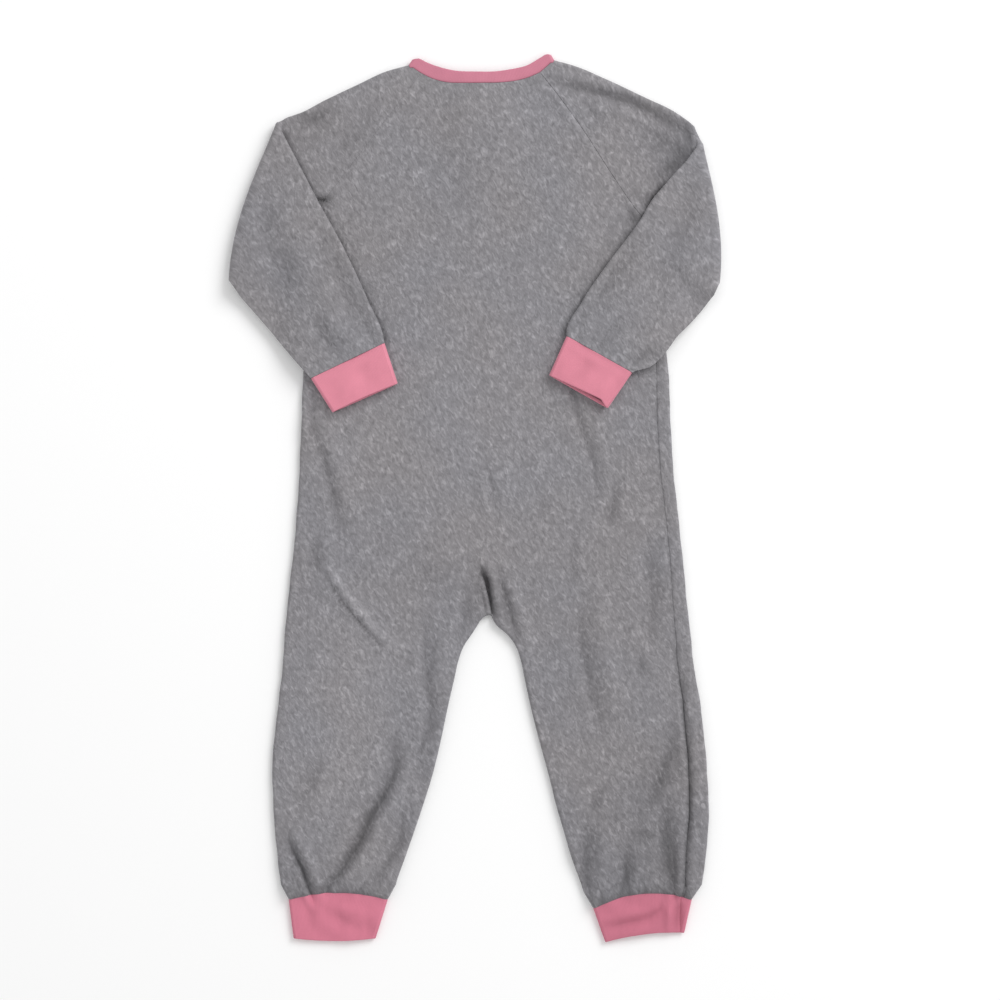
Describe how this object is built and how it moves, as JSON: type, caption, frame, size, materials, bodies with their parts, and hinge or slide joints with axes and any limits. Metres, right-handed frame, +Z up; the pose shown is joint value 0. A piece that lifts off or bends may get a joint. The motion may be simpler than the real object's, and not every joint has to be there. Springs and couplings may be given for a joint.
{
  "type": "onesie pajama",
  "caption": "Toddler's footless fleece one-piece with raglan sleeves, rib bands and a front zip, laid face down with its sleeves folded over the back.",
  "frame": {"origin": "middle of the garment's outline, on the surface it lies on", "axes": "+Y from the ankles to the neck, +Z up out of the garment's back, +X to the right as seen from above"},
  "size_m": [0.4523, 0.8165, 0.0146],
  "materials": {
    "grey_fleece": "brushed fleece, grey heather",
    "pink_rib": "rib knit",
    "zip_tape": "woven tape",
    "zip_coil": "nylon coil",
    "painted_metal": "enamelled zinc"
  },
  "bodies": {
    "garment": {"back": "grey_fleece", "front_left": "grey_fleece", "front_right": "grey_fleece", "sleeve_left": "grey_fleece", "sleeve_right": "grey_fleece", "neckband": "pink_rib", "cuff_left": "pink_rib", "cuff_right": "pink_rib", "ankle_cuff_left": "pink_rib", "ankle_cuff_right": "pink_rib", "zip_tape_left": "zip_tape", "zip_tape_right": "zip_tape", "zip_chain": "zip_coil", "zip_slider": "painted_metal"},
    "pull_tab": {"zip_pull": "painted_metal"}
  },
  "joints": [
    {"name": "pull_tab_hinge", "type": "hinge", "parent": "garment", "child": "pull_tab", "pos_m": [0.00612, 0.3435, 0.0021], "axis": [1, 0, 0], "range_deg": [0, 170]}
  ]
}
